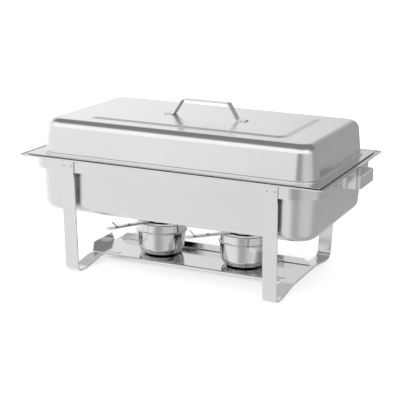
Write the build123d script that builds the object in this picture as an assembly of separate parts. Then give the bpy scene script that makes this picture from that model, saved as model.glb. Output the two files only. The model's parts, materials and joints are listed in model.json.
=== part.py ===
from build123d import *
import os

# Rectangular chafing dish with two fuel burners, all in stainless sheet and strip.
# Millimetres. X runs along the long side, Y towards the back, Z up.
# The origin is on the table under the middle of the frame.

# ---- how far a cut runs past the face that it opens
CUT_PAST = 1.0

# ---- sheet and strip
SHEET = 1.0
RIM_SHEET = 1.2
FOOD_RIM_SHEET = 1.6
STRIP = 2.5
STRIP_WIDTH = 25.0

# ---- food pan: the standard full-size pan
FOOD_LENGTH = 530.0
FOOD_WIDTH = 325.0
FOOD_DEPTH = 65.0
FOOD_FLANGE = 15.0
FOOD_CORNER = 36.0
FOOD_BASE_BEND = 12.0
FOOD_DRAFT = 3.0

# ---- water pan, which holds the food pan
RIM_HEIGHT = 204.4
WATER_GAP = 4.5
WATER_DEPTH = 97.0
WATER_CORNER = 44.0
CORNER_STEP = 8.0
WATER_BASE_BEND = 16.0
WATER_DRAFT = 3.0
WATER_RIM_REACH = 9.5
WATER_LIP_RISE = 1.4
LEDGE_RISE = 1.0
LEDGE_WIDTH = 3.0
RIM_CORNER = 5.0

# ---- lid
LID_HEIGHT = 59.8
LID_CORNER = 34.0
LID_DRAFT = 6.7
LID_TOP_BEND = 16.0
LID_FOOT_REACH = 3.0
LID_FOOT_RISE = 2.6
LID_FOOT_BEND = 1.17
PANEL_INSET_X = 49.0
PANEL_INSET_Y = 28.0
PANEL_RISE = 2.0
PANEL_ROOT = 0.5
PANEL_BEVEL = 7.0
PANEL_CORNER = 22.0

# ---- lid handle, a bent strap
HANDLE_LENGTH = 154.0
HANDLE_FOOT = 17.0
HANDLE_GRIP = 86.0
HANDLE_RISE = 27.5
HANDLE_WIDTH = 17.0
HANDLE_STRIP = 2.0
HANDLE_BEND = 6.0

# ---- band round the frame, with a carry loop at each end
BAND_GAP = 8.0
BAND_HEIGHT = 21.0
LOOP_REACH = 31.0
LOOP_HALF = 41.0
LOOP_BEND = 8.0

# ---- legs: two U straps
LEG_FROM_BEND = 15.0
LEG_JOGGLE = 3.0
LEG_LEAN = 14.5
LEG_BEND = 13.0
JOGGLE_BEND = 9.0
JOGGLE_TOP = 3.0
JOGGLE_BOTTOM = 14.0
TAB_SHORT = 1.0
SEAT_HEIGHT = 7.5
SEAT_RUN = 55.0
SEAT_MARGIN = 4.0
SEAT_BEND = 12.0

# ---- rivets
RIVET_RADIUS = 1.5
RIVET_HEAD = 3.0
RIVET_HEAD_RISE = 1.1
RIVET_HALF_PITCH = 7.0
RIVET_FROM_EDGE = 8.4

# ---- burner tray
TRAY_DEPTH = 106.0
TRAY_SHIFT = -4.0
TRAY_BACK_RISE = 11.5
TRAY_END_RISE = 15.5
TRAY_END_RUN = 85.0
TRAY_END_START = 5.0
TRAY_END_SLANTS = (5.0, 9.0)
TRAY_LIP_DROP = 6.0
TRAY_FOLD = 2.5
LIP_CLEARANCE = 2.0
LIP_SLANT = 12.0
BACK_MARGIN = 6.0
BACK_SLANT = 14.0
DIMPLE_LENGTH = 30.0
DIMPLE_WIDTH = 9.0
DIMPLE_RISE = 1.6
DIMPLE_SLOPE = 35.0
DIMPLE_FROM_END = 38.0
DIMPLE_FROM_FRONT = 16.0

# ---- burners
BURNER_X = (-83.0, 80.0)
BURNER_BACK_GAP = 1.0
PAN_SPACE = 96.4
BURNER_TURNS = (-119.0, -131.0)
CUP_RADIUS = 45.0
CUP_HEIGHT = 52.0
CUP_DRAFT = 1.0
CUP_BASE_BEND = 13.0
CAP_FIT = 0.2
CAP_SKIRT = 17.0
CAP_TOP_RISE = 8.0
CAP_BEND = 2.4
CAP_BEAD = 1.4
MOUTH_RADIUS = 23.0
ARM_STRIP = 1.5
ARM_WIDTH = 14.0
ARM_REACH = 119.0
ARM_ROOT = 33.0
DAMPER_SHEET = 1.0
DAMPER_OVERLAP = 4.0
DAMPER_ARM_WIDTH = 11.0
DAMPER_ARM_REACH = 98.0
PIVOT_REACH = 73.6
PIVOT_RADIUS = 2.0
PIVOT_CLEARANCE = 0.05
PIVOT_HEAD = 4.0
PIVOT_HEAD_RISE = 1.4
PIVOT_TAIL_RISE = 1.0
TAB_RISE = 10.0
TAB_LEAN = 10.0
TAB_BEND = 2.0
TAB_START = 8.0
SLIDE_GAP = 0.1

# ---- places that follow from the sizes above
food_half_x = FOOD_LENGTH / 2 - FOOD_FLANGE
food_half_y = FOOD_WIDTH / 2 - FOOD_FLANGE
# A rounder water pan would close on the food pan at the corners, so its walls move out as much.
corner_closing = (WATER_CORNER - FOOD_CORNER - CORNER_STEP) * (1 - 0.5 ** 0.5)
water_half_x = food_half_x + WATER_GAP + corner_closing + SHEET
water_half_y = food_half_y + WATER_GAP + corner_closing + SHEET
rim_half_x = FOOD_LENGTH / 2 + WATER_RIM_REACH
rim_half_y = FOOD_WIDTH / 2 + WATER_RIM_REACH
food_rest = RIM_HEIGHT + LEDGE_RISE
food_top = food_rest + FOOD_RIM_SHEET
band_top = RIM_HEIGHT - RIM_SHEET
band_bottom = band_top - BAND_HEIGHT
band_half_x = water_half_x + BAND_GAP + STRIP
band_half_y = water_half_y + BAND_GAP + STRIP
band_corner = WATER_CORNER + BAND_GAP + STRIP
leg_x = band_half_x - band_corner - LEG_FROM_BEND - STRIP_WIDTH / 2
leg_top_y = band_half_y + STRIP
leg_foot_y = leg_top_y - LEG_JOGGLE - LEG_LEAN
tray_bottom = SEAT_HEIGHT + STRIP
tray_top = tray_bottom + SHEET
tray_front = TRAY_SHIFT - TRAY_DEPTH / 2
tray_back = TRAY_SHIFT + TRAY_DEPTH / 2
tray_half_x = leg_x + STRIP_WIDTH / 2
cap_radius = CUP_RADIUS + CAP_FIT + SHEET
# CUP_HEIGHT suits a tray that lies PAN_SPACE under the water pan; the cup follows that space.
cup_height = CUP_HEIGHT + (RIM_HEIGHT - WATER_DEPTH - tray_top) - PAN_SPACE
cap_top = cup_height + CAP_TOP_RISE
cap_grip = (CAP_SKIRT - CAP_TOP_RISE) * cup_height / CUP_HEIGHT
cap_skirt = CAP_TOP_RISE + cap_grip
burner_y = tray_back - BURNER_BACK_GAP - CUP_RADIUS


def block(half_x, half_y, corner, bottom, height, draft=0.0):
    """A rounded rectangle drawn up from bottom; a draft makes it narrower towards the top."""
    outline = Pos(0, 0, bottom) * RectangleRounded(2 * half_x, 2 * half_y, corner)
    return extrude(outline, amount=height, taper=draft)


def hanging_block(half_x, half_y, corner, top, depth, draft, base_bend):
    """A pan's solid shape: widest at the top, narrower downwards, with a rounded bottom edge."""
    body = Rot(180, 0, 0) * block(half_x, half_y, corner, 0, depth, draft)
    body = Pos(0, 0, top) * body
    base = body.faces().sort_by(Axis.Z)[0]
    return fillet(base.edges(), base_bend)


def pan_shell(half_x, half_y, corner, top, depth, draft, base_bend):
    """A deep-drawn pan body of sheet, open at the top."""
    outside = hanging_block(half_x, half_y, corner, top, depth, draft, base_bend)
    inside = hanging_block(
        half_x - SHEET, half_y - SHEET, corner - SHEET,
        top, depth - SHEET, draft, base_bend - SHEET)
    return outside - inside


def strap(points, radii, thickness, width):
    """A flat strap bent along points in the XY plane, its width centred on that plane."""
    line = FilletPolyline(*points, radius=radii)
    return extrude(trace(line, line_width=thickness), amount=width / 2, both=True)


def upright(shape):
    """Turn a strap drawn in the XY plane up into the XZ plane."""
    return Rot(90, 0, 0) * shape


def across(shape):
    """Turn a strap drawn in the XY plane so that it runs along Y and stands up in Z."""
    return Rot(0, 0, 90) * Rot(90, 0, 0) * shape


def disc(radius, bottom, height):
    """An upright cylinder standing on bottom."""
    return Pos(0, 0, bottom) * extrude(Circle(radius), amount=height)


def dome(radius, rise):
    """A shallow domed rivet head standing on Z = 0."""
    ball_radius = (radius ** 2 + rise ** 2) / (2 * rise)
    ball = Pos(0, 0, rise - ball_radius) * Sphere(ball_radius)
    return ball & disc(radius, 0, rise)


# ---------------------------------------------------------------- frame

def band_half(side):
    """Half of the band: one long side and half of each end, out round half of each carry loop."""
    mid = STRIP / 2
    x, y = band_half_x - mid, band_half_y - mid
    loop_x = band_half_x + LOOP_REACH - mid
    right = [(loop_x, 0), (loop_x, LOOP_HALF), (x, LOOP_HALF), (x, y)]
    points = right + [(-px, py) for px, py in reversed(right)]
    corner = band_corner - mid
    radii = [LOOP_BEND, LOOP_BEND, corner, corner, LOOP_BEND, LOOP_BEND]
    points = [(px, side * py) for px, py in points]
    strip = strap(points, radii, STRIP, BAND_HEIGHT)
    return Pos(0, 0, band_top - BAND_HEIGHT / 2) * strip


def leg_path():
    """Middle line of a leg strap from its front top, under the tray, to its back top."""
    mid = STRIP / 2
    top_y, knee_y, foot_y = leg_top_y - mid, leg_top_y - LEG_JOGGLE - mid, leg_foot_y - mid
    seat_y = TRAY_DEPTH / 2 + abs(TRAY_SHIFT) + SEAT_MARGIN
    back = [
        (seat_y, SEAT_HEIGHT + mid),
        (seat_y + SEAT_RUN, mid),
        (foot_y, mid),
        (knee_y, band_bottom - JOGGLE_BOTTOM),
        (top_y, band_bottom - JOGGLE_TOP),
        (top_y, band_top - TAB_SHORT)]
    radii = [SEAT_BEND, SEAT_BEND, LEG_BEND, JOGGLE_BEND, JOGGLE_BEND]
    front = [(-y, z) for y, z in reversed(back)]
    return front + back, radii[::-1] + radii


def rivet_places():
    """X of each leg rivet; the pairs sit side by side in each leg's top tab."""
    return [
        side * leg_x + offset
        for side in (-1, 1)
        for offset in (-RIVET_HALF_PITCH, RIVET_HALF_PITCH)]


def rivet_height():
    return band_top - RIVET_FROM_EDGE


def rivet_shanks(radius):
    """Cylinders along Y through the band and the leg tabs, front and back."""
    inner = band_half_y - STRIP
    length = 2 * STRIP
    shanks = []
    for x in rivet_places():
        for side in (-1, 1):
            middle = side * (inner + length / 2)
            shanks.append(
                Pos(x, middle, rivet_height()) * Rot(90, 0, 0) * Cylinder(radius, length))
    return shanks


def leg_rivets():
    rivets = []
    for shank in rivet_shanks(RIVET_RADIUS):
        centre = shank.center()
        out = 1 if centre.Y > 0 else -1
        outside = Pos(centre.X, centre.Y + out * STRIP, centre.Z)
        inside = Pos(centre.X, centre.Y - out * STRIP, centre.Z)
        head = outside * Rot(-90 * out, 0, 0) * dome(RIVET_HEAD, RIVET_HEAD_RISE)
        tail = inside * Rot(90 * out, 0, 0) * dome(RIVET_HEAD, RIVET_HEAD_RISE)
        rivets.append(shank + head + tail)
    return Compound(rivets)


def drilled(shape, holes):
    for hole in holes:
        shape = shape - hole
    return shape


def leg_strap(side):
    points, radii = leg_path()
    strip = across(strap(points, radii, STRIP, STRIP_WIDTH))
    return drilled(Pos(side * leg_x, 0, 0) * strip, rivet_shanks(RIVET_RADIUS))


# ---------------------------------------------------------------- burner tray

def slanted(points_low, points_high, low, high):
    """A trapezium from (low) points at the fold to (high) points at the free edge."""
    (a, b), (c, d) = points_low, points_high
    return make_face(Polyline((a, low), (b, low), (d, high), (c, high), close=True))


def cut_off(sheet, outline, fold_y):
    """Take away the part of an upright edge, at fold_y, that lies inside outline in the XZ plane."""
    reach = 4 * TRAY_FOLD
    place = Plane(origin=(0, fold_y - reach / 2, 0), x_dir=(1, 0, 0), z_dir=(0, -1, 0))
    return sheet - extrude(place * outline, amount=-reach)


def tray_sheet():
    """The plate, its turned-up back edge and its turned-down front lip, with slanted ends."""
    mid = SHEET / 2
    plate_z = tray_bottom + mid
    back_top = tray_top + TRAY_BACK_RISE
    lip_bottom = tray_top - TRAY_LIP_DROP
    profile = [
        (tray_front + mid, lip_bottom),
        (tray_front + mid, plate_z),
        (tray_back - mid, plate_z),
        (tray_back - mid, back_top)]
    sheet = across(strap(profile, [TRAY_FOLD, TRAY_FOLD], SHEET, 2 * tray_half_x))
    lip_end = leg_x - STRIP_WIDTH / 2 - LIP_CLEARANCE
    back_end = tray_half_x - BACK_MARGIN
    past_end = tray_half_x + SHEET
    for side in (-1, 1):
        lip_cut = slanted(
            (side * past_end, side * lip_end), (side * past_end, side * (lip_end - LIP_SLANT)),
            tray_bottom, lip_bottom - SHEET)
        sheet = cut_off(sheet, lip_cut, tray_front)
        back_cut = slanted(
            (side * past_end, side * back_end), (side * past_end, side * (back_end - BACK_SLANT)),
            tray_top, back_top + SHEET)
        sheet = cut_off(sheet, back_cut, tray_back)
    return sheet


def with_left_end(sheet):
    """Fold up the left end of the tray, shorter than the plate and with slanted ends."""
    mid = SHEET / 2
    end_top = tray_top + TRAY_END_RISE
    fold_start = 8 * TRAY_FOLD
    profile = [
        (fold_start - tray_half_x, tray_bottom + mid),
        (mid - tray_half_x, tray_bottom + mid),
        (mid - tray_half_x, end_top)]
    front = tray_front + TRAY_END_START
    back = front + TRAY_END_RUN
    middle = (front + back) / 2
    end = Pos(0, middle, 0) * upright(strap(profile, [TRAY_FOLD], SHEET, TRAY_END_RUN))
    front_slant, back_slant = TRAY_END_SLANTS
    outline = slanted(
        (front, back), (front + front_slant, back - back_slant), tray_bottom - SHEET, end_top)
    side_view = Plane(origin=(-tray_half_x - SHEET, 0, 0), x_dir=(0, 1, 0), z_dir=(1, 0, 0))
    end = end & extrude(side_view * outline, amount=2 * fold_start)
    clear = Pos(-tray_half_x, middle, tray_top) * Box(2 * TRAY_FOLD, TRAY_END_RUN, 4 * TRAY_FOLD)
    return (sheet - clear) + end


def burner_tray():
    """The plate that carries the burners, with an oblong dimple near each front corner."""
    sheet = with_left_end(tray_sheet())
    slot = SlotOverall(DIMPLE_LENGTH, DIMPLE_WIDTH)
    bump = extrude(Pos(0, 0, tray_top) * slot, amount=DIMPLE_RISE, taper=DIMPLE_SLOPE)
    hollow = extrude(Pos(0, 0, tray_bottom) * slot, amount=DIMPLE_RISE, taper=DIMPLE_SLOPE)
    for side in (-1, 1):
        place = Pos(side * (tray_half_x - DIMPLE_FROM_END), tray_front + DIMPLE_FROM_FRONT, 0)
        sheet = (sheet + place * bump) - place * hollow
    return sheet


# ---------------------------------------------------------------- pans

def parted(pan, height):
    """A pan as two touching solids, rim and body, so that simple hulls can follow both."""
    rim_and_body = split(pan, bisect_by=Plane.XY.offset(height), keep=Keep.BOTH)
    return Compound(rim_and_body.solids())


def water_pan():
    shell = pan_shell(
        water_half_x, water_half_y, WATER_CORNER,
        RIM_HEIGHT, WATER_DEPTH, WATER_DRAFT, WATER_BASE_BEND)
    mouth = block(
        water_half_x - SHEET, water_half_y - SHEET, WATER_CORNER - SHEET,
        band_top - CUT_PAST, RIM_SHEET + LEDGE_RISE + 2 * CUT_PAST)
    plate = block(rim_half_x, rim_half_y, RIM_CORNER, band_top, RIM_SHEET)
    ledge = block(
        water_half_x + LEDGE_WIDTH, water_half_y + LEDGE_WIDTH,
        WATER_CORNER + LEDGE_WIDTH, RIM_HEIGHT, LEDGE_RISE)
    lip = block(rim_half_x, rim_half_y, RIM_CORNER, RIM_HEIGHT, WATER_LIP_RISE)
    lip = lip - block(
        rim_half_x - RIM_SHEET, rim_half_y - RIM_SHEET, RIM_CORNER - RIM_SHEET,
        RIM_HEIGHT - CUT_PAST, WATER_LIP_RISE + 2 * CUT_PAST)
    return parted(shell + (plate + ledge - mouth) + lip, band_top)


def food_pan():
    shell = pan_shell(
        food_half_x, food_half_y, FOOD_CORNER,
        food_top, FOOD_DEPTH, FOOD_DRAFT, FOOD_BASE_BEND)
    mouth = block(
        food_half_x - SHEET, food_half_y - SHEET, FOOD_CORNER - SHEET,
        food_rest - CUT_PAST, FOOD_RIM_SHEET + 2 * CUT_PAST)
    plate = block(
        FOOD_LENGTH / 2, FOOD_WIDTH / 2, RIM_CORNER, food_rest, FOOD_RIM_SHEET)
    return parted(shell + (plate - mouth), food_rest)


# ---------------------------------------------------------------- lid

def lid_form(inset):
    """The lid's solid form; an inset of one sheet gives the form of its hollow."""
    half_x, half_y = food_half_x - inset, food_half_y - inset
    body = block(half_x, half_y, LID_CORNER - inset, food_top, LID_HEIGHT - inset, LID_DRAFT)
    top = body.faces().sort_by(Axis.Z)[-1]
    body = fillet(top.edges(), LID_TOP_BEND - inset)
    lower = food_top + LID_HEIGHT - inset - PANEL_ROOT
    upper = food_top + LID_HEIGHT - inset + PANEL_RISE
    panel_x = food_half_x - PANEL_INSET_X - LID_TOP_BEND
    panel_y = food_half_y - PANEL_INSET_Y - LID_TOP_BEND
    base = RectangleRounded(2 * panel_x, 2 * panel_y, PANEL_CORNER)
    crest = RectangleRounded(
        2 * (panel_x - PANEL_BEVEL), 2 * (panel_y - PANEL_BEVEL), PANEL_CORNER - PANEL_BEVEL)
    panel = loft([Pos(0, 0, lower) * base.face(), Pos(0, 0, upper) * crest.face()], ruled=True)
    return body + panel


def lid_rivet_places():
    x = HANDLE_LENGTH / 2 - HANDLE_FOOT / 2
    y = HANDLE_WIDTH / 4
    return [(side * x, row * y) for side in (-1, 1) for row in (-1, 1)]


def lid_panel_top():
    return food_top + LID_HEIGHT + PANEL_RISE


def lid_rivet_shanks():
    """Shanks through the lid's panel and the handle's feet."""
    bottom = lid_panel_top() - SHEET
    return [
        Pos(x, y, 0) * disc(RIVET_RADIUS, bottom, SHEET + HANDLE_STRIP)
        for x, y in lid_rivet_places()]


def lid_shell():
    foot = block(
        food_half_x + LID_FOOT_REACH, food_half_y + LID_FOOT_REACH,
        LID_CORNER + LID_FOOT_REACH, food_top, LID_FOOT_RISE)
    foot = fillet(foot.faces().sort_by(Axis.Z)[-1].edges(), LID_FOOT_BEND)
    hollow = lid_form(SHEET) + block(
        food_half_x - SHEET, food_half_y - SHEET, LID_CORNER - SHEET,
        food_top - CUT_PAST, 2 * CUT_PAST)
    return drilled((lid_form(0) + foot) - hollow, lid_rivet_shanks())


def lid_handle():
    """A strap with turned-out feet, sloping arms and a straight grip."""
    mid = HANDLE_STRIP / 2
    foot_z = lid_panel_top() + mid
    grip_z = foot_z + HANDLE_RISE
    right = [
        (HANDLE_GRIP / 2, grip_z),
        (HANDLE_LENGTH / 2 - HANDLE_FOOT, foot_z),
        (HANDLE_LENGTH / 2, foot_z)]
    left = [(-x, z) for x, z in reversed(right)]
    radii = [HANDLE_BEND / 2, HANDLE_BEND, HANDLE_BEND, HANDLE_BEND / 2]
    strip = upright(strap(left + right, radii, HANDLE_STRIP, HANDLE_WIDTH))
    return drilled(strip, lid_rivet_shanks())


def lid_handle_rivets():
    rivets = []
    for shank, (x, y) in zip(lid_rivet_shanks(), lid_rivet_places()):
        inside = Pos(x, y, lid_panel_top() - SHEET) * Rot(180, 0, 0)
        rivets.append(shank + inside * dome(RIVET_HEAD, RIVET_HEAD_RISE))
    return Compound(rivets)


# ---------------------------------------------------------------- burners
# Each burner is drawn about Z at the origin, standing on Z = 0, with its arm along +X.

def burner_cup():
    """A drawn cup with a rounded base and a slightly tapered wall."""
    foot_radius = CUP_RADIUS - CUP_DRAFT

    def form(inset):
        wall = make_face(Polyline(
            (0, inset), (foot_radius - inset, inset),
            (CUP_RADIUS - inset, cup_height), (0, cup_height), close=True))
        body = revolve(Plane.XZ * wall, Axis.Z)
        base = body.edges().filter_by(GeomType.CIRCLE).sort_by(Axis.Z)[0]
        return fillet(base, CUP_BASE_BEND - inset)

    return form(0) - form(SHEET)


def burner_cap():
    """A pressed cap: skirt with a rolled bead, rounded shoulder and a top with a round mouth."""
    skirt_bottom = cap_top - cap_skirt
    outside = disc(cap_radius, skirt_bottom, cap_skirt)
    outside = fillet(outside.edges().sort_by(Axis.Z)[-1], CAP_BEND)
    inside = disc(
        CUP_RADIUS + CAP_FIT, skirt_bottom - CUT_PAST, cup_height - skirt_bottom + CUT_PAST)
    upper = disc(cap_radius - SHEET, cup_height, CAP_TOP_RISE - SHEET)
    upper = fillet(upper.edges().sort_by(Axis.Z)[-1], CAP_BEND - SHEET)
    bead = Pos(0, 0, skirt_bottom + CAP_BEAD) * Torus(cap_radius, CAP_BEAD)
    mouth = disc(MOUTH_RADIUS, cap_top - 2 * SHEET, 3 * SHEET)
    return outside + bead - inside - upper - mouth


def arm_face(start, end, width):
    """A flat bar from start to end along X with a round far end."""
    middle, length = (start + end - width / 2) / 2, end - width / 2 - start
    bar = Pos(middle, 0) * Rectangle(length, width)
    return bar + Pos(end - width / 2, 0) * Circle(width / 2)


def burner_arm():
    """The fixed arm, welded on top of the cap beside its mouth."""
    bar = arm_face(ARM_ROOT, ARM_REACH, ARM_WIDTH)
    bar = extrude(Pos(0, 0, cap_top) * bar, amount=ARM_STRIP)
    return bar - Pos(PIVOT_REACH, 0, 0) * disc(
        PIVOT_RADIUS, cap_top - CUT_PAST, ARM_STRIP + 2 * CUT_PAST)


def damper_level():
    return cap_top + ARM_STRIP + SLIDE_GAP


def damper():
    """The swing plate: a disc over the mouth, its arm and a turned-up thumb tab."""
    low = damper_level()
    plate = Circle(MOUTH_RADIUS + DAMPER_OVERLAP)
    bar_length = DAMPER_ARM_REACH
    plate = plate + Pos(bar_length / 2, 0) * Rectangle(bar_length, DAMPER_ARM_WIDTH)
    flat = extrude(Pos(0, 0, low) * plate, amount=DAMPER_SHEET)
    mid = low + DAMPER_SHEET / 2
    tab = strap(
        [(bar_length - TAB_START, mid), (bar_length, mid),
         (bar_length + TAB_LEAN, mid + TAB_RISE)],
        [TAB_BEND], DAMPER_SHEET, DAMPER_ARM_WIDTH)
    shorter = Pos(bar_length, 0, mid) * Box(TAB_START, 2 * DAMPER_ARM_WIDTH, 2 * DAMPER_SHEET)
    hole = Pos(PIVOT_REACH, 0, 0) * disc(
        PIVOT_RADIUS + PIVOT_CLEARANCE, low - DAMPER_SHEET, 3 * DAMPER_SHEET)
    return (flat - shorter) + upright(tab) - hole


def pivot_rivet():
    """The pin through the arm and the swing plate, with a domed head at each end."""
    head_z = damper_level() + DAMPER_SHEET + SLIDE_GAP
    shank = disc(PIVOT_RADIUS, cap_top, head_z - cap_top)
    head = Pos(0, 0, head_z) * dome(PIVOT_HEAD, PIVOT_HEAD_RISE)
    tail = Pos(0, 0, cap_top) * Rot(180, 0, 0) * dome(PIVOT_HEAD, PIVOT_TAIL_RISE)
    return Pos(PIVOT_REACH, 0, 0) * (shank + head + tail)


def burner_place(index):
    return Pos(BURNER_X[index], burner_y, tray_top) * Rot(0, 0, BURNER_TURNS[index])


# ---------------------------------------------------------------- the whole set

def band_with_holes(side):
    return drilled(band_half(side), rivet_shanks(RIVET_RADIUS))


nodes = {
    "front_band": band_with_holes(-1),
    "rear_band": band_with_holes(1),
    "left_leg_strap": leg_strap(-1),
    "right_leg_strap": leg_strap(1),
    "leg_rivets": leg_rivets(),
    "burner_tray": burner_tray(),
    "water_pan": water_pan(),
    "food_pan": food_pan(),
    "lid_shell": lid_shell(),
    "lid_handle": lid_handle(),
    "lid_handle_rivets": lid_handle_rivets(),
}

for index in (0, 1):
    name = f"burner_{index + 1}"
    place = burner_place(index)
    nodes[f"{name}_cup"] = place * burner_cup()
    nodes[f"{name}_cap"] = place * burner_cap()
    nodes[f"{name}_arm"] = place * burner_arm()
    nodes[f"{name}_damper"] = place * damper()
    nodes[f"{name}_pivot_rivet"] = place * pivot_rivet()

os.makedirs("parts", exist_ok=True)
for name, shape in nodes.items():
    export_step(shape, os.path.join("parts", f"{name}.step"))
    print(f"{name:24s} {len(shape.solids()):2d} solids  {shape.volume:12.1f} mm3")
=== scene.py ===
# %% [markdown]
# # A chafing dish: making sheet and strip look like stainless steel
#
# A chafing dish is a nest of pressed pans held by a frame of bent strip. Two small fuel burners
# stand on a tray below it. The lesson builds each piece the way a metal shop would: a flat blank is
# pushed in by a press, one pass at a time, and a strip is folded over a bend radius. The packed
# frame says where every piece is, so all places come from its boxes.

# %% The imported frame
import json
import math

import bmesh
import bpy
from mathutils import Matrix, Vector

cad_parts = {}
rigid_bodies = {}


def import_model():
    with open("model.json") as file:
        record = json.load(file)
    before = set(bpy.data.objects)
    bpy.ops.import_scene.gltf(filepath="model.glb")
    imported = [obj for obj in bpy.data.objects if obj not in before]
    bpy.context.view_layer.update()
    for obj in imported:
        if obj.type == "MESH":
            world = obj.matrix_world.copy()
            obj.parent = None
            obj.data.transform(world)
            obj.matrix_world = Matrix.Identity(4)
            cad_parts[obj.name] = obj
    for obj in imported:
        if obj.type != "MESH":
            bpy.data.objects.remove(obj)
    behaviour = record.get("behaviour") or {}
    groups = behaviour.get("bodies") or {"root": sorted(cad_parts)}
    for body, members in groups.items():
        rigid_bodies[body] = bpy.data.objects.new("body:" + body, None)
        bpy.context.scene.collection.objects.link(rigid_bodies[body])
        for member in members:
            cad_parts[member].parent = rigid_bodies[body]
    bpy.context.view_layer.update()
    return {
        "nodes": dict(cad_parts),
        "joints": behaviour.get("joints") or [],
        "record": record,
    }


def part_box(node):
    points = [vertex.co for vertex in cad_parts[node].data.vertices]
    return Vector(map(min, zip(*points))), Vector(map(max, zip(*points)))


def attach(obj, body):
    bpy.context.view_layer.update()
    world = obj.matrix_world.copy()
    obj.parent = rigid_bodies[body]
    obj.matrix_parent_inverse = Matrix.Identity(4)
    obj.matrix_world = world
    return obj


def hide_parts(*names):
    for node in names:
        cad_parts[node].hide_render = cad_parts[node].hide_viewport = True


for startup in list(bpy.data.objects):
    bpy.data.objects.remove(startup)
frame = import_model()
MM = 0.001
SHEET = 1.0 * MM
STRIP = 2.5 * MM

# %% [markdown]
# ## The camera
#
# The camera stands a little to the right of the middle and looks down at a shallow angle. It is
# turned about its own axis by a degree and a half, so the table leans slightly.

# %% Camera
AZIMUTH, ELEVATION, ROLL = (math.radians(a) for a in (22.88, 15.97, 1.46))
AIM_HEIGHT = 59.08 * MM
DISTANCE = 2.112
FOCAL_LENGTH = 105.7
SENSOR_WIDTH = 36.0
LENS_SHIFT = (-0.0070, 0.0807)


def camera_turn():
    """The camera's right, up and backward directions as the columns of a rotation."""
    back = Vector((
        math.sin(AZIMUTH) * math.cos(ELEVATION),
        -math.cos(AZIMUTH) * math.cos(ELEVATION),
        math.sin(ELEVATION)))
    level = Vector((math.cos(AZIMUTH), math.sin(AZIMUTH), 0))
    upright = back.cross(level)
    right = level * math.cos(ROLL) + upright * math.sin(ROLL)
    up = upright * math.cos(ROLL) - level * math.sin(ROLL)
    return Matrix((right, up, back)).transposed()


lens = bpy.data.cameras.new("camera")
lens.lens = FOCAL_LENGTH
lens.sensor_width = SENSOR_WIDTH
lens.shift_x, lens.shift_y = LENS_SHIFT
camera = bpy.data.objects.new("camera", lens)
camera.matrix_world = camera_turn().to_4x4()
camera.location = Vector((0, 0, AIM_HEIGHT)) + camera_turn().col[2] * DISTANCE
bpy.context.scene.collection.objects.link(camera)
bpy.context.scene.camera = camera
print("camera stands at", [round(x, 3) for x in camera.location])

# %% [markdown]
# ## Shader maths as expressions
#
# A metal finish is mostly numbers that vary a little over the surface. Wrapping a node's socket in
# a small class lets that be written as arithmetic, and each operation adds one Math node.


# %% Wires and nodes
class Wire:
    """A value on its way from one node to the next."""

    def __init__(self, tree, socket):
        self.tree, self.socket = tree, socket

    def _maths(self, operation, first, second):
        settings = {"operation": operation}
        return add_node(self.tree, "ShaderNodeMath", settings, {0: first, 1: second})

    def __add__(self, other):
        return self._maths("ADD", self, other)

    def __sub__(self, other):
        return self._maths("SUBTRACT", self, other)

    def __rsub__(self, other):
        return self._maths("SUBTRACT", other, self)

    def __mul__(self, other):
        return self._maths("MULTIPLY", self, other)

    __radd__ = __add__
    __rmul__ = __mul__


def add_node(tree, kind, settings=None, sockets=None, out=0):
    """Add a node: its settings first, then the values or wires of its sockets."""
    node = tree.nodes.new(kind)
    for name, value in (settings or {}).items():
        setattr(node, name, value)
    for name, value in (sockets or {}).items():
        if isinstance(value, Wire):
            tree.links.new(value.socket, node.inputs[name])
        else:
            node.inputs[name].default_value = value
    return Wire(tree, node.outputs[out])


def smooth_step(tree, value, low, high):
    """0 below low, 1 above high, with a soft change between them."""
    settings = {"interpolation_type": "SMOOTHSTEP"}
    return add_node(
        tree, "ShaderNodeMapRange", settings, {"Value": value, "From Min": low, "From Max": high})


# %% [markdown]
# ## Stainless steel
#
# Sheet leaves the mill with a fine grain, and polishing leaves it softer or brighter. Each finish
# is one metal with three kinds of noise: slow clouds that shift the tone by a few percent, long
# thin lines along the grain that change the roughness and make a very low bump, and shallow waves
# such as a large sheet keeps; every finish here leaves the waves at zero, so they add nothing.
# The grain is stretched along the way the sheet was rubbed.


# %% Steel finishes
def steel(name, tone, roughness, grain, grain_depth=0.02, waves=0.0):
    """A stainless finish; grain is how tightly the lines repeat along X, Y and Z."""
    material = bpy.data.materials.new(name)
    material.use_nodes = True
    tree = material.node_tree
    tree.nodes.clear()
    place = add_node(tree, "ShaderNodeTexCoord", out=3)
    stretched = add_node(tree, "ShaderNodeMapping", {}, {"Vector": place, "Scale": grain})
    lines = add_node(
        tree, "ShaderNodeTexNoise", {}, {"Vector": stretched, "Scale": 1.0, "Detail": 4.0})
    clouds = add_node(
        tree, "ShaderNodeTexNoise", {}, {"Vector": place, "Scale": 9.0, "Detail": 3.0})
    dents = add_node(tree, "ShaderNodeTexNoise", {}, {"Vector": place, "Scale": 6.0, "Detail": 0.0})
    dark = [tone * 0.94, tone * 0.94, tone * 0.93, 1.0]
    light = [tone * 1.04, tone * 1.04, tone * 1.04, 1.0]
    colour = add_node(
        tree, "ShaderNodeMix", {"data_type": "RGBA"},
        {"Factor": clouds * 0.8 + lines * 0.2, 6: dark, 7: light}, out=2)
    height = lines * grain_depth + dents * waves
    bump = add_node(tree, "ShaderNodeBump", {}, {"Height": height, "Distance": SHEET})
    shader = add_node(
        tree, "ShaderNodeBsdfPrincipled", {},
        {"Base Color": colour, "Roughness": lines * 0.04 + clouds * 0.04 + (roughness - 0.04),
         "Normal": bump, "Metallic": 1.0})
    output = tree.nodes.new("ShaderNodeOutputMaterial")
    tree.links.new(shader.socket, output.inputs["Surface"])
    return material


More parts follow.
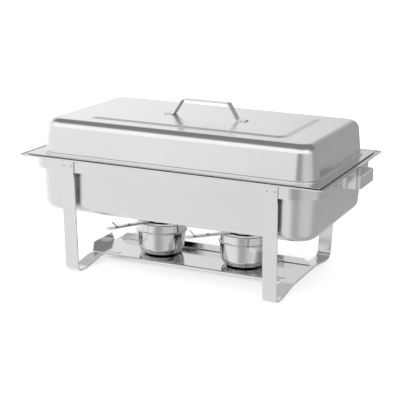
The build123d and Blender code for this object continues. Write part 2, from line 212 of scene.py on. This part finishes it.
ALONG_X = (12.0, 900.0, 900.0)
finishes = {
    "satin_lid": steel("satin_lid", 0.80, 0.23, ALONG_X, 0.002),
    "satin_pan": steel("satin_pan", 0.78, 0.27, ALONG_X, 0.001),
    "polished_strip": steel("polished_strip", 0.76, 0.18, (40.0, 40.0, 900.0), 0.006),
    "polished_handle": steel("polished_handle", 0.74, 0.12, ALONG_X),
    "tray_sheet": steel("tray_sheet", 0.70, 0.13, ALONG_X, 0.004),
    "polished_burner": steel("polished_burner", 0.74, 0.10, (30.0, 30.0, 700.0), 0.004),
    "rivet_steel": steel("rivet_steel", 0.72, 0.24, (300.0, 300.0, 300.0)),
}
slot_of_node = {s["node"]: s["material_slot"] for s in frame["record"]["subparts"]}
for node_name, node in frame["nodes"].items():
    node.data.materials.clear()
    node.data.materials.append(finishes[slot_of_node[node_name]])
print("finishes:", sorted(finishes))

# %% [markdown]
# ## The press
#
# A drawn pan starts as a flat blank with round corners. Each pass of the press pushes the middle in
# by a little, and a bend is a run of short passes along an arc. Insetting the one remaining face
# does just that, and keeps the round corners round.

# %% Blanks, passes and bends
CORNER_STEPS = 14
STRAIGHT = math.radians(90)
SHARP = math.radians(35)
NEAR = 1e-6


def blank(bm, half_x, half_y, corner, height, down=False):
    """A flat sheet with round corners; down turns its outside to face the table."""
    made = bmesh.ops.create_grid(bm, x_segments=1, y_segments=1, size=1)
    bmesh.ops.scale(bm, vec=(half_x, half_y, 1), verts=made["verts"])
    bmesh.ops.translate(bm, vec=(0, 0, height), verts=made["verts"])
    cut = bmesh.ops.bevel(
        bm, geom=made["verts"], offset=corner, offset_type="OFFSET", affect="VERTICES",
        segments=CORNER_STEPS, profile=0.5, material=-1)
    face = max(cut["verts"][0].link_faces, key=lambda f: len(f.verts))
    if down:
        bmesh.ops.reverse_faces(bm, faces=[face])
    return face


def round_blank(bm, radius, height, down=False):
    """A flat disc."""
    made = bmesh.ops.create_circle(bm, cap_ends=True, radius=radius, segments=72)
    bmesh.ops.translate(bm, vec=(0, 0, height), verts=made["verts"])
    face = made["verts"][0].link_faces[0]
    face.normal_update()
    if (face.normal.z < 0) != down:
        bmesh.ops.reverse_faces(bm, faces=[face])
    return face


def press(bm, face, passes):
    """Push the middle of a sheet in; each pass is how far in and how far along it goes."""
    for inset, rise in passes:
        bmesh.ops.inset_region(
            bm, faces=[face], thickness=inset, depth=rise,
            use_even_offset=True, use_boundary=True)
    return face


def bend(radius, start, end, count=8):
    """The passes of one bend; an angle of 0 runs inwards and a quarter turn runs straight up."""
    step = (end - start) / count
    chord = 2 * radius * math.sin(abs(step) / 2)
    turns = [start + step * (i + 0.5) for i in range(count)]
    return [(chord * math.cos(turn), chord * math.sin(turn)) for turn in turns]


def reach(passes):
    """How far in and how far along a run of passes goes."""
    return sum(p[0] for p in passes), sum(p[1] for p in passes)


def outline_since(bm, before=()):
    """The outer edges of what was made after the edges in before."""
    return [side for side in bm.edges if side.is_boundary and side not in before]


def edge_between(bm, start, end):
    """The edge whose two ends lie at start and end."""
    return next(
        side for side in bm.edges
        if all(any((v.co - point).length < NEAR for v in side.verts) for point in (start, end)))


def open_face(bm, face):
    """Take a face out and give the edges of the hole that it leaves."""
    edges = face.edges[:]
    bmesh.ops.delete(bm, geom=[face], context="FACES_ONLY")
    return edges


def bridge(bm, first, second):
    """Join two outlines with a strip of faces that faces the same way as its neighbours."""
    made = bmesh.ops.bridge_loops(bm, edges=first + second)
    if not first[0].is_contiguous:
        bmesh.ops.reverse_faces(bm, faces=made["faces"])


body_of_node = {
    node: body for body, names in frame["record"]["behaviour"]["bodies"].items() for node in names}


def finish_piece(bm, node, thickness=SHEET, edge=0.0):
    """Give a formed sheet its thickness and finish, and let it stand for its CAD node."""
    bm.normal_update()
    if thickness:
        bmesh.ops.solidify(bm, geom=bm.faces[:], thickness=thickness)
    bm.normal_update()
    for face in bm.faces:
        face.smooth = True
    for side in bm.edges:
        side.smooth = side.calc_face_angle(0) < SHARP
    mesh = bpy.data.meshes.new(node + "_formed")
    bm.to_mesh(mesh)
    open_edges = sum(len(side.link_faces) != 2 for side in bm.edges)
    bm.free()
    mesh.materials.append(finishes[slot_of_node[node]])
    piece = bpy.data.objects.new(node + "_formed", mesh)
    bpy.context.scene.collection.objects.link(piece)
    if edge:
        rounding = piece.modifiers.new("edge", "BEVEL")
        rounding.width, rounding.segments, rounding.limit_method = edge, 2, "ANGLE"
        rounding.angle_limit = SHARP
    even = piece.modifiers.new("normals", "WEIGHTED_NORMAL")
    even.weight, even.keep_sharp = 100, True
    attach(piece, body_of_node[node])
    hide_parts(node)
    corners = [Vector(c) for c in piece.bound_box]
    low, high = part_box(node)
    off = max(max(abs(corners[0][i] - low[i]), abs(corners[6][i] - high[i])) for i in range(3))
    counts = f"{len(mesh.polygons)} faces, {open_edges} open edges"
    print(f"{node}: {counts}, box within {off / MM:.2f} mm")
    return piece


# %% [markdown]
# ## The lid
#
# The lid is one deep drawing: a bead round its foot, walls that lean in so that it comes off the
# punch, a soft top edge, and a raised panel that keeps the large flat top from drumming. The panel
# has rounder corners than the flat round it, so it is pressed from its own blank, and the two
# outlines are bridged.

# %% Lid shell
LID_CORNER = 37 * MM
LID_LEAN = math.radians(90 - 6.7)
LID_TOP_BEND = 16 * MM
FOOT_BEAD = 1.2 * MM
FOOT_FLAT = 1.4 * MM
FOOT_HOLLOW = 0.8 * MM
PANEL_RISE = 2.0 * MM
PANEL_CORNER = 22 * MM
PANEL_BEND = 10 * MM
PANEL_FROM_SIDE = Vector((68, 47)) * MM
PANEL_SLOPE = math.radians(12)

lid_low, lid_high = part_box("lid_shell")
panel_foot = lid_high.z - PANEL_RISE


def lid_shell():
    bm = bmesh.new()
    outside = blank(bm, lid_high.x, lid_high.y, LID_CORNER, lid_low.z)
    foot = [(0, FOOT_FLAT)] + bend(FOOT_BEAD, STRAIGHT, 0) + [(FOOT_FLAT, 0)]
    foot += bend(FOOT_HOLLOW, 0, LID_LEAN)
    top = bend(LID_TOP_BEND, LID_LEAN, 0, 14)
    wall_rise = panel_foot - lid_low.z - reach(foot)[1] - reach(top)[1]
    wall = [(wall_rise / math.tan(LID_LEAN), wall_rise)]
    shoulder = open_face(bm, press(bm, outside, foot + wall + top))
    centre = (lid_high.x - PANEL_FROM_SIDE.x, lid_high.y - PANEL_FROM_SIDE.y)
    shell_edges = set(bm.edges)
    panel = blank(bm, *centre, PANEL_CORNER, panel_foot)
    rounding = bend(PANEL_BEND, 0, PANEL_SLOPE, 6)
    slope_rise = PANEL_RISE - 2 * reach(rounding)[1]
    slope = [(slope_rise / math.tan(PANEL_SLOPE), slope_rise)]
    press(bm, panel, rounding + slope + bend(PANEL_BEND, PANEL_SLOPE, 0, 6))
    bridge(bm, shoulder, outline_since(bm, shell_edges))
    return finish_piece(bm, "lid_shell")


lid_shell()

# %% [markdown]
# ## The pans
#
# Each pan is drawn downwards. Its rim has nearly square corners and its body has round ones, so the
# flat between them is bridged. The water pan's rim turns up at its edge, and a low step inside it
# carries the food pan, which leaves the dark line that runs between the two rims. The food pan's
# rim is hemmed: its edge turns down, which stiffens it and hides the raw cut.

# %% Food pan and water pan
DRAFT = math.radians(90 - 3)
RIM_CORNER = 5 * MM
HEM = 1.6 * MM
FOOD_MOUTH_IN, FOOD_MOUTH_CORNER, FOOD_BASE = 14 * MM, 37 * MM, 12 * MM
WATER_MOUTH_IN, WATER_MOUTH_CORNER, WATER_BASE = 15.3 * MM, 47.7 * MM, 16 * MM
WATER_STEP = [(0.6 * MM, -1.0 * MM), (1.6 * MM, 0)]
EDGE_TURN = 0.8 * MM
EDGE_FLAT = 1.0 * MM


def drawn_pan(bm, half_x, half_y, corner, rim_passes, height, step, mouth, depth, base_bend):
    """A rim, a step and a body; mouth is the body's half sizes and corner at the rim."""
    rim = blank(bm, half_x, half_y, corner, height, down=True)
    rim_edge = open_face(bm, press(bm, rim, rim_passes))
    mouth_x, mouth_y, mouth_corner = mouth
    level = height - reach(rim_passes)[1]
    rim_edges = set(bm.edges)
    body = blank(bm, mouth_x, mouth_y, mouth_corner, level, down=True)
    lip = bend(1.5 * MM, 0, DRAFT, 6)
    base = bend(base_bend, DRAFT, 0, 12)
    wall_drop = depth - reach(lip)[1] - reach(base)[1] - reach(step)[1]
    wall = [(wall_drop / math.tan(DRAFT), wall_drop)]
    press(bm, body, step + lip + wall + base)
    bridge(bm, rim_edge, outline_since(bm, rim_edges))


def food_pan():
    low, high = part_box("food_pan")
    under = high.z - SHEET
    bm = bmesh.new()
    edge = [(0, -(HEM - SHEET))]
    mouth = (high.x - FOOD_MOUTH_IN, high.y - FOOD_MOUTH_IN, FOOD_MOUTH_CORNER)
    drawn_pan(
        bm, high.x - SHEET, high.y - SHEET, RIM_CORNER - SHEET, edge, high.z - HEM,
        [], mouth, under - low.z, FOOD_BASE)
    return finish_piece(bm, "food_pan")


def water_pan():
    low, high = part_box("water_pan")
    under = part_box("front_band")[1].z
    bm = bmesh.new()
    turn = bend(EDGE_TURN, STRAIGHT, 0, 5)
    edge = [(0, high.z - under - reach(turn)[1])] + turn + [(EDGE_FLAT, 0)]
    mouth = (high.x - WATER_MOUTH_IN, high.y - WATER_MOUTH_IN, WATER_MOUTH_CORNER)
    drawn_pan(
        bm, high.x, high.y, RIM_CORNER, edge, high.z,
        WATER_STEP, mouth, under - low.z, WATER_BASE)
    return finish_piece(bm, "water_pan")


food_pan()
water_pan()

# %% [markdown]
# ## Bent strip
#
# The frame, the legs and the lid's handle are flat strip, folded over a bend radius. A ribbon of
# plain faces follows the outside of the strip, every crease is bevelled to its own radius, and the
# thickness goes in last, on the inner side. A fine bevel takes the sharpness off the long edges,
# which is what catches the light on real strip.


# %% Folding a strip
def strip(bm, points, bends, across):
    """Fold a ribbon along points, the line of its outside at one edge; across is its width."""
    line = [bm.verts.new(point) for point in points]
    edges = [bm.edges.new(pair) for pair in zip(line, line[1:])]
    made = bmesh.ops.extrude_edge_only(bm, edges=edges)
    moved = [v for v in made["geom"] if isinstance(v, bmesh.types.BMVert)]
    bmesh.ops.translate(bm, vec=across, verts=moved)
    for point, radius in zip(points[1:-1], bends):
        fold(bm, Vector(point), Vector(point) + Vector(across), radius)


def fold(bm, start, end, radius, count=10):
    """Round the crease that runs from start to end."""
    crease = edge_between(bm, start, end)
    turn = crease.calc_face_angle()
    bmesh.ops.bevel(
        bm, geom=[crease], offset=radius * math.tan(turn / 2), offset_type="OFFSET",
        affect="EDGES", segments=count, profile=0.5, material=-1)


STRIP_EDGE = 0.35 * MM
CARRY_LOOP = Vector((31, 42.25)) * MM
BAND_CORNER = 54.5 * MM
LOOP_BEND = 9 * MM
LEG_BENDS = [9 * MM, 9 * MM, 14 * MM, 12 * MM, 12 * MM]
KNEE_IN, FOOT_IN = 3 * MM, 17.5 * MM
KNEE_TOP, KNEE_BOTTOM = 179.2 * MM, 168.2 * MM
TOE, SEAT_EDGE, SEAT_TOP = 116 * MM, 61 * MM, 7.5 * MM
HANDLE_STRIP = 2 * MM
HANDLE_GRIP, HANDLE_HEEL = 43.6 * MM, 60.6 * MM
HANDLE_BENDS = [2 * MM, 7 * MM, 7 * MM, 2 * MM]


def band(node, side):
    """Half of the band, from the middle of one carry loop round to the middle of the other."""
    low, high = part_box(node)
    out, wide = high.x, max(high.y, -low.y)
    in_x = out - CARRY_LOOP.x
    right = [(out, 0), (out, CARRY_LOOP.y), (in_x, CARRY_LOOP.y), (in_x, wide)]
    path = [(side * x, side * y, low.z) for x, y in right]
    path = [(-x, y, z) for x, y, z in path] + path[::-1]
    bm = bmesh.new()
    bends = [LOOP_BEND, LOOP_BEND, BAND_CORNER]
    strip(bm, path, bends + bends[::-1], (0, 0, high.z - low.z))
    return finish_piece(bm, node, STRIP, STRIP_EDGE)


def leg_strap(node):
    """One U strap: rear leg, foot, the seat of the tray, foot and front leg."""
    low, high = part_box(node)
    half = high.y
    rear = [
        (low.x, half, high.z), (low.x, half, KNEE_TOP), (low.x, half - KNEE_IN, KNEE_BOTTOM),
        (low.x, half - FOOT_IN, 0), (low.x, TOE, 0), (low.x, SEAT_EDGE, SEAT_TOP)]
    path = rear + [(x, -y, z) for x, y, z in reversed(rear)]
    bm = bmesh.new()
    strip(bm, path, LEG_BENDS + LEG_BENDS[::-1], (high.x - low.x, 0, 0))
    return finish_piece(bm, node, STRIP, STRIP_EDGE)


def lid_handle():
    """A flat strap with turned-out feet and sloping arms."""
    low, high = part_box("lid_handle")
    foot_top = low.z + HANDLE_STRIP
    right = [
        (high.x, low.y, foot_top), (HANDLE_HEEL, low.y, foot_top),
        (HANDLE_GRIP, low.y, high.z)]
    path = right + [(-x, y, z) for x, y, z in reversed(right)]
    bm = bmesh.new()
    strip(bm, path, HANDLE_BENDS, (0, high.y - low.y, 0))
    return finish_piece(bm, "lid_handle", HANDLE_STRIP, STRIP_EDGE)


band("front_band", -1)
band("rear_band", 1)
leg_strap("left_leg_strap")
leg_strap("right_leg_strap")
lid_handle()

# %% [markdown]
# ## The burner tray
#
# The tray is one folded sheet. Its back edge and its left end turn up and keep the burners on it,
# and the front edge turns down between the legs, which stops the tray from sliding off its seats.
# The free ends of the folds are cut at a slant, and each front corner has an oblong dimple that
# stiffens it. The outline has relief notches where folds meet, and the creases are rounded last.

# %% Tray
TRAY_FOLD = 3 * MM
LIP_MARGIN = 2 * MM
LIP_SLANT = 12 * MM
BACK_MARGIN = 6 * MM
BACK_SLANT = 14 * MM
BACK_RISE = 11.5 * MM
END_PLACE = (5 * MM, 90 * MM)
END_SLANTS = (5 * MM, 9 * MM)
LIP_REACH = 5 * MM
DIMPLE = Vector((15, 4.5)) * MM
DIMPLE_FROM_END = 38 * MM
DIMPLE_FROM_FRONT = 16 * MM


def flap(bm, start, end, rise, slants):
    """Turn up (or down) the edge from start to end; its free corners slant in along the edge."""
    start, end = Vector(start), Vector(end)
    raised = bmesh.ops.extrude_edge_only(bm, edges=[edge_between(bm, start, end)])
    along = (end - start).normalized()
    for vert in [g for g in raised["geom"] if isinstance(g, bmesh.types.BMVert)]:
        at_start = (vert.co - start).length < NEAR
        vert.co += along * (slants[0] if at_start else -slants[1])
        vert.co.z += rise


def dimple(bm, x, y, level):
    """Press an oblong bump up out of the flat plate."""
    reach_x, reach_y = DIMPLE.x + MM, DIMPLE.y + MM
    cuts = [(x - reach_x, 0), (x + reach_x, 0), (y - reach_y, 1), (y + reach_y, 1)]
    for place, axis in cuts:
        normal = Vector((axis == 0, axis == 1, 0))
        everything = bm.faces[:] + bm.edges[:] + bm.verts[:]
        bmesh.ops.bisect_plane(bm, geom=everything, plane_co=normal * place, plane_no=normal)
    centre = Vector((x, y, level))
    hole = min(bm.faces, key=lambda f: (f.calc_center_median() - centre).length)
    rim = open_face(bm, hole)
    plate_edges = set(bm.edges)
    bump = blank(bm, DIMPLE.x, DIMPLE.y, DIMPLE.y - 0.1 * MM, level, down=True)
    bmesh.ops.translate(bm, vec=(x, y, 0), verts=bump.verts[:])
    up = bend(1.5 * MM, 0, math.radians(45), 4) + bend(1.5 * MM, math.radians(45), 0, 4)
    press(bm, bump, [(inset, -rise) for inset, rise in up])
    bridge(bm, rim, outline_since(bm, plate_edges))


def burner_tray():
    low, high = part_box("burner_tray")
    base = low.z + LIP_REACH
    half, back, front = high.x, high.y, low.y + SHEET
    lip_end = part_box("right_leg_strap")[0].x - LIP_MARGIN
    back_end = half - BACK_MARGIN
    end_front, end_back = (low.y + place for place in END_PLACE)
    notch = TRAY_FOLD * 1.05
    outline = [
        (notch - half, front + notch), (-lip_end, front + notch), (-lip_end, front),
        (lip_end, front), (lip_end, front + notch), (half, front + notch),
        (half, back - notch), (back_end, back - notch), (back_end, back),
        (-back_end, back), (-back_end, back - notch), (notch - half, back - notch),
        (notch - half, end_back), (-half, end_back), (-half, end_front), (notch - half, end_front)]
    bm = bmesh.new()
    bm.faces.new([bm.verts.new((x, y, base)) for x, y in reversed(outline)])
    lip, upright = low.z - base, SHEET + BACK_RISE
    flap(bm, (-lip_end, front, base), (lip_end, front, base), lip, (LIP_SLANT, LIP_SLANT))
    flap(bm, (-back_end, back, base), (back_end, back, base), upright, (BACK_SLANT, BACK_SLANT))
    flap(bm, (-half, end_front, base), (-half, end_back, base), high.z - base, END_SLANTS)
    bm.normal_update()
    creases = [e for e in bm.edges if e.calc_face_angle(0) > SHARP]
    bmesh.ops.bevel(
        bm, geom=creases, offset=TRAY_FOLD, offset_type="OFFSET", affect="EDGES",
        segments=6, profile=0.5, material=-1)
    for side in (-1, 1):
        dimple(bm, side * (half - DIMPLE_FROM_END), low.y + DIMPLE_FROM_FRONT, base)
    return finish_piece(bm, "burner_tray")


burner_tray()

# %% [markdown]
# ## The burners
#
# A burner is a drawn cup that holds the fuel can and a pressed cap with a round mouth. A fixed arm
# on the cap carries a damper plate on a rivet: swing it aside to light the fuel, swing it back to
# put the flame out. Cup and cap are pressed from round blanks, the arm and the damper are cut from
# flat sheet.

# %% Burners
CUP_DRAFT = math.radians(90 - 4)
CUP_BASE = 16 * MM
STANDS_OFF = 0.02 * MM
BEAD = 1.4 * MM
CAP_BEND = 2.4 * MM
MOUTH = 23 * MM
ARM_HALF_WIDTH = 7 * MM
ARM_ROOT = 33 * MM
ARM_TIP = 119 * MM
DAMPER_RADIUS = 27 * MM
DAMPER_ARM_END = 98 * MM
DAMPER_ARM_HALF = 5.6 * MM
TAB = 10 * MM


def burner_cup(node, centre):
    low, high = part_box(node)
    bm = bmesh.new()
    face = round_blank(bm, high.x - centre.x, high.z, down=True)
    base = bend(CUP_BASE, CUP_DRAFT, 0, 12)
    drop = high.z - low.z - reach(base)[1] - STANDS_OFF
    press(bm, face, [(drop / math.tan(CUP_DRAFT), drop)] + base)
    bmesh.ops.translate(bm, vec=(centre.x, centre.y, 0), verts=bm.verts[:])
    return finish_piece(bm, node)


def burner_cap(node, centre):
    """Bead, skirt, shoulder and flat top with its mouth; the bead is closed below by its roll."""
    low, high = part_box(node)
    widest = high.x - centre.x
    bm = bmesh.new()
    face = round_blank(bm, widest, low.z + BEAD)
    roll = bend(BEAD, STRAIGHT, 0, 6)
    neck = bend(BEAD / 2, 0, STRAIGHT, 4)
    shoulder = bend(CAP_BEND, STRAIGHT, 0, 8)
    skirt = high.z - low.z - BEAD - reach(roll + neck + shoulder)[1]
    lip = bend(1.5 * MM, 0, -math.radians(60), 4)
    flat = widest - MOUTH - reach(roll + neck + shoulder + lip)[0]
    press(bm, face, roll + neck + [(0, skirt)] + shoulder + [(flat, 0)] + lip)
    edge = outline_since(bm)
    open_face(bm, face)
    for inset, rise in bend(BEAD, STRAIGHT, 0, 6):
        made = bmesh.ops.extrude_edge_only(bm, edges=edge)
        ring = [g for g in made["geom"] if isinstance(g, bmesh.types.BMVert)]
        edge = [g for g in made["geom"] if isinstance(g, bmesh.types.BMEdge)]
        radius = ring[0].co.xy.length
        bmesh.ops.scale(bm, vec=(1 - inset / radius, 1 - inset / radius, 1), verts=ring)
        bmesh.ops.translate(bm, vec=(0, 0, -rise), verts=ring)
        edge = [e for e in edge if all(v in ring for v in e.verts)]
    bmesh.ops.recalc_face_normals(bm, faces=bm.faces[:])
    bmesh.ops.translate(bm, vec=(centre.x, centre.y, 0), verts=bm.verts[:])
    return finish_piece(bm, node, 0.6 * MM)


def set_down(bm, centre, turn):
    """Turn a piece drawn about the origin to its burner's direction and move it there."""
    bmesh.ops.rotate(bm, cent=(0, 0, 0), matrix=Matrix.Rotation(turn, 3, "Z"), verts=bm.verts[:])
    bmesh.ops.translate(bm, vec=(centre.x, centre.y, 0), verts=bm.verts[:])


def burner_arm(node, centre, turn):
    """A flat bar with a round tip."""
    low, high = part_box(node)
    bm = bmesh.new()
    made = bmesh.ops.create_grid(bm, x_segments=1, y_segments=1, size=1)
    half = (ARM_TIP - ARM_ROOT) / 2
    bmesh.ops.scale(bm, vec=(half, ARM_HALF_WIDTH, 1), verts=made["verts"])
    bmesh.ops.translate(bm, vec=(ARM_ROOT + half, 0, high.z), verts=made["verts"])
    tip = [v for v in made["verts"] if v.co.x > ARM_TIP - MM]
    bmesh.ops.bevel(
        bm, geom=tip, offset=ARM_HALF_WIDTH * 0.98, offset_type="OFFSET", affect="VERTICES",
        segments=10, profile=0.5, material=-1)
    set_down(bm, centre, turn)
    return finish_piece(bm, node, high.z - low.z, 0.2 * MM)


def damper(node, centre, turn):
    """A disc over the mouth, its bar, and a tab folded up for the thumb."""
    bm = bmesh.new()
    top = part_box(node)[0].z + SHEET
    made = bmesh.ops.create_circle(bm, cap_ends=True, radius=DAMPER_RADIUS, segments=62)
    bmesh.ops.translate(bm, vec=(0, 0, top), verts=made["verts"])
    bm.faces.ensure_lookup_table()
    bm.normal_update()
    if bm.faces[0].normal.z < 0:
        bmesh.ops.reverse_faces(bm, faces=bm.faces[:])
    root = [
        e for e in bm.edges if all(v.co.x > 0 and abs(v.co.y) < DAMPER_ARM_HALF for v in e.verts)]
    for shift, place in (((0, 0, 0), DAMPER_ARM_END), ((0, 0, TAB), DAMPER_ARM_END + TAB)):
        made = bmesh.ops.extrude_edge_only(bm, edges=root)
        ends = [g for g in made["geom"] if isinstance(g, bmesh.types.BMVert)]
        for vert in ends:
            vert.co.x = place
        bmesh.ops.translate(bm, vec=shift, verts=ends)
        root = [
            g for g in made["geom"]
            if isinstance(g, bmesh.types.BMEdge) and all(v in ends for v in g.verts)]
    crease = [e for e in bm.edges if e.calc_face_angle(0) > SHARP]
    bmesh.ops.bevel(
        bm, geom=crease, offset=1.5 * MM, offset_type="OFFSET", affect="EDGES",
        segments=6, profile=0.5, material=-1)
    set_down(bm, centre, turn)
    return finish_piece(bm, node)


pivots = {j["child"]: Vector(j["pos_m"]) for j in frame["joints"] if j["type"] == "hinge"}
for index in (1, 2):
    name = f"burner_{index}"
    low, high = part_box(f"{name}_cup")
    centre = (low + high) / 2
    way = pivots[f"damper_{index}"] - centre
    turn = math.atan2(way.y, way.x)
    burner_cup(f"{name}_cup", centre)
    burner_cap(f"{name}_cap", centre)
    burner_arm(f"{name}_arm", centre, turn)
    damper(f"{name}_damper", centre, turn)

# %% [markdown]
# ## Floor, light and what the steel sees
#
# Polished steel has hardly any colour of its own: it looks like its surroundings. A product studio
# is white all round the table, with a large soft box above and in front, a darker ceiling behind it
# and a greyer side. The sky is therefore painted by direction, in the world's own coordinates. A
# wide, even light from above keeps the paper white and leaves only a faint shadow under the feet.

# %% Studio
FLOOR_HALF = 15.0
FLOOR_GLOW = 0.45
SUN_STRENGTH = 1.5
SUN_SPREAD = math.radians(110)


def world_light():
    """The studio by direction: bright front and left, greyer right, a soft box high in front."""
    world = bpy.data.worlds.new("studio")
    bpy.context.scene.world = world
    world.use_nodes = True
    tree = world.node_tree
    tree.nodes.clear()
    way = add_node(tree, "ShaderNodeTexCoord", out=0)
    split = add_node(tree, "ShaderNodeSeparateXYZ", {}, {0: way})
    x, y, z = (Wire(tree, socket) for socket in split.socket.node.outputs)
    front = smooth_step(tree, y * -1.0, -0.15, 0.15)
    low = smooth_step(tree, z * -1.0, 0.1, 0.4)
    greyer = smooth_step(tree, x, -0.5, 0.1) * (1.0 - front * 0.45)
    stand = smooth_step(tree, x, -0.28, 0.0) * smooth_step(tree, x * -1.0, -0.65, -0.25)
    stand = stand * (1.0 - smooth_step(tree, z * -1.0, 0.15, 0.25) * 0.45)
    level = 1.22 - greyer * 0.72 + greyer * low * 0.12 - stand * front * 0.5
    glow = smooth_step(tree, z * -1.0, -0.31, -0.2) * smooth_step(tree, x * -1.0, 0.2, 0.6)
    level = level + glow * (1.0 - front) * 0.15
    ceiling = smooth_step(tree, z, 0.36, 0.68)
    level = level - ceiling * (level - 0.3)
    box_low = smooth_step(tree, z, 0.06, 0.24)
    box_high = smooth_step(tree, z * -1.0, -0.85, -0.7)
    box_front = smooth_step(tree, y * -1.0, 0.05, 0.3)
    level = level + box_low * box_high * box_front * (1.5 - level)
    background = add_node(tree, "ShaderNodeBackground", {}, {"Strength": level})
    output = tree.nodes.new("ShaderNodeOutputWorld")
    tree.links.new(background.socket, output.inputs["Surface"])


def soft_sun(strength, spread):
    """Even light from above; the steel doesn't mirror it."""
    data = bpy.data.lights.new("overhead", "SUN")
    data.energy, data.angle = strength, spread
    lamp = bpy.data.objects.new("overhead", data)
    lamp.rotation_euler = (math.radians(-12), math.radians(-10), 0)
    lamp.visible_glossy = False
    bpy.context.scene.collection.objects.link(lamp)


def floor():
    bm = bmesh.new()
    bmesh.ops.create_grid(bm, x_segments=1, y_segments=1, size=FLOOR_HALF)
    mesh = bpy.data.meshes.new("floor")
    bm.to_mesh(mesh)
    bm.free()
    material = bpy.data.materials.new("floor_paper")
    material.use_nodes = True
    shader = material.node_tree.nodes["Principled BSDF"]
    shader.inputs["Base Color"].default_value = (0.92, 0.92, 0.92, 1)
    shader.inputs["Roughness"].default_value = 0.9
    shader.inputs["Emission Color"].default_value = (1, 1, 1, 1)
    shader.inputs["Emission Strength"].default_value = FLOOR_GLOW
    mesh.materials.append(material)
    table = bpy.data.objects.new("floor", mesh)
    bpy.context.scene.collection.objects.link(table)
    table.visible_glossy = False


world_light()
soft_sun(SUN_STRENGTH, SUN_SPREAD)
floor()
bpy.context.scene.view_settings.view_transform = "Standard"
print("floor glow:", FLOOR_GLOW, "sun:", SUN_STRENGTH, "world:", bpy.context.scene.world.name)

# %% [markdown]
# ## Sizes and the end
#
# finish_piece has already printed, for every formed piece, how far its box lies from the box of
# the imported solid. The two should agree, because the visual pieces are built from the imported
# boxes. This last cell only brings the scene up to date.

# %% Sizes and the end
bpy.context.view_layer.update()
